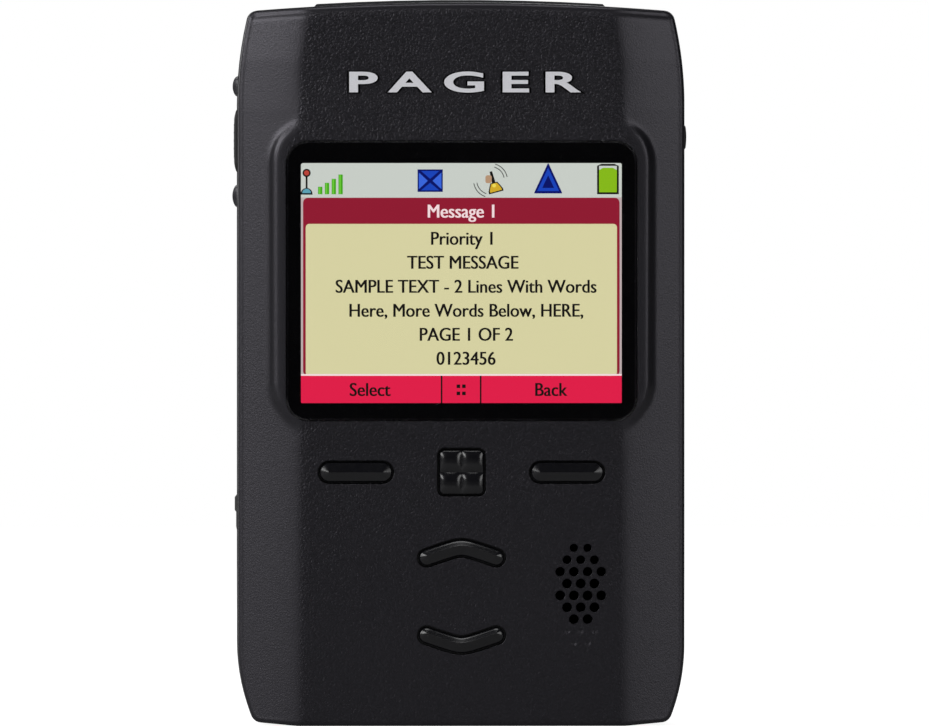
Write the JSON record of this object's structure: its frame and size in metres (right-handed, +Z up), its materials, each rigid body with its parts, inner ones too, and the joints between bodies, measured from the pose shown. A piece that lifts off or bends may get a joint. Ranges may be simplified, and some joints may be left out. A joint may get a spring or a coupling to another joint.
{
  "type": "pager",
  "caption": "Hand-sized two-way pager with a colour display window, five front keys, a loudspeaker grille, side keys, a hinged port cover and a lift-off battery door.",
  "frame": {"origin": "on the resting surface, below the middle of the case's width and depth", "axes": "+Z up along the case's height, the front with its display faces -Y, +X to the viewer's right"},
  "size_m": [0.0576, 0.0226, 0.092],
  "materials": {
    "case_plastic": "fine moulded texture, black",
    "key_plastic": "polished black",
    "black_rubber": "matt black",
    "silicone": "translucent dark grey silicone",
    "foam": "open-cell foam",
    "lens_glass": "polished, black printed border",
    "panel_glass": "lit colour panel",
    "white_plastic": "white reflector plastic",
    "clear_plastic": "clear acrylic",
    "ribbon": "amber polyimide",
    "badge_metal": "satin silver",
    "board": "green solder mask",
    "chip": "moulded epoxy",
    "tinned_steel": "tin-plated sheet",
    "screw_steel": "black oxide steel",
    "bright_steel": "plain steel",
    "gold_contact": "gold-plated spring metal",
    "carrier_plastic": "moulded carrier, dark grey",
    "cone_film": "formed film",
    "pack_wrap": "wrapped cell, dark grey",
    "tungsten": "sintered tungsten"
  },
  "bodies": {
    "case": {"antenna_carrier": "carrier_plastic", "antenna_spring": "gold_contact", "antenna_strip": "gold_contact", "backlight_frame": "white_plastic", "badge": "badge_metal", "battery_connector": "carrier_plastic", "battery_contacts": "gold_contact", "board_screws": "bright_steel", "case_screws": "screw_steel", "case_seal": "black_rubber", "clock_cell": "bright_steel", "display_flex": "ribbon", "display_gasket": "foam", "display_lens": "lens_glass", "display_panel": "panel_glass", "dome_sheet": "clear_plastic", "front_housing": "case_plastic", "keypad_mat": "silicone", "lens_adhesive": "foam", "light_guide": "clear_plastic", "main_board": "board", "memory_chip": "chip", "motor_boot": "black_rubber", "processor_chip": "chip", "radio_chip": "chip", "rear_housing": "case_plastic", "shield_can": "tinned_steel", "side_switches": "chip", "speaker_basket": "carrier_plastic", "speaker_cone": "cone_film", "speaker_gasket": "foam", "speaker_magnet": "bright_steel", "speaker_mesh": "foam", "usb_socket": "tinned_steel", "vibration_motor": "bright_steel"},
    "left_soft_key": {"left_soft_key": "key_plastic"},
    "right_soft_key": {"right_soft_key": "key_plastic"},
    "menu_key": {"menu_key": "key_plastic"},
    "up_key": {"up_key": "key_plastic"},
    "down_key": {"down_key": "key_plastic"},
    "side_key": {"side_key": "black_rubber"},
    "right_side_button": {"right_side_button": "black_rubber"},
    "port_cover": {"usb_cover": "black_rubber"},
    "battery_door": {"battery_door": "case_plastic", "battery_door_seal": "black_rubber"},
    "battery": {"battery_pack": "pack_wrap", "battery_pads": "gold_contact"},
    "vibrator": {"motor_shaft": "bright_steel", "eccentric_weight": "tungsten"}
  },
  "joints": [
    {"name": "press_left_soft_key", "type": "slide", "parent": "case", "child": "left_soft_key", "axis": [0, 1, 0], "range_m": [0, 0.0004], "stiffness_N_per_m": 500},
    {"name": "press_right_soft_key", "type": "slide", "parent": "case", "child": "right_soft_key", "axis": [0, 1, 0], "range_m": [0, 0.0004], "stiffness_N_per_m": 500},
    {"name": "press_menu_key", "type": "slide", "parent": "case", "child": "menu_key", "axis": [0, 1, 0], "range_m": [0, 0.0004], "stiffness_N_per_m": 500},
    {"name": "press_up_key", "type": "slide", "parent": "case", "child": "up_key", "axis": [0, 1, 0], "range_m": [0, 0.0004], "stiffness_N_per_m": 500},
    {"name": "press_down_key", "type": "slide", "parent": "case", "child": "down_key", "axis": [0, 1, 0], "range_m": [0, 0.0004], "stiffness_N_per_m": 500},
    {"name": "press_side_key", "type": "slide", "parent": "case", "child": "side_key", "axis": [1, 0, 0], "range_m": [0, 0.00035], "stiffness_N_per_m": 500},
    {"name": "press_right_side_button", "type": "slide", "parent": "case", "child": "right_side_button", "axis": [-1, 0, 0], "range_m": [0, 0.00035], "stiffness_N_per_m": 500},
    {"name": "open_port_cover", "type": "hinge", "parent": "case", "child": "port_cover", "pos_m": [-0.0278, -0.00287, 0.0204], "axis": [0, -1, 0], "range_deg": [0, 100]},
    {"name": "lift_battery_door", "type": "slide", "parent": "case", "child": "battery_door", "axis": [0, 1, 0], "range_m": [0, 0.03]},
    {"name": "lift_battery", "type": "slide", "parent": "case", "child": "battery", "axis": [0, 1, 0], "range_m": [0, 0.015]},
    {"name": "spin_vibrator", "type": "hinge", "parent": "case", "child": "vibrator", "pos_m": [-0.008, -0.00035, 0.009], "axis": [1, 0, 0], "continuous": true}
  ],
  "couplings": [
    {"joint": "lift_battery", "follows": "lift_battery_door", "ratio": 0.5}
  ]
}
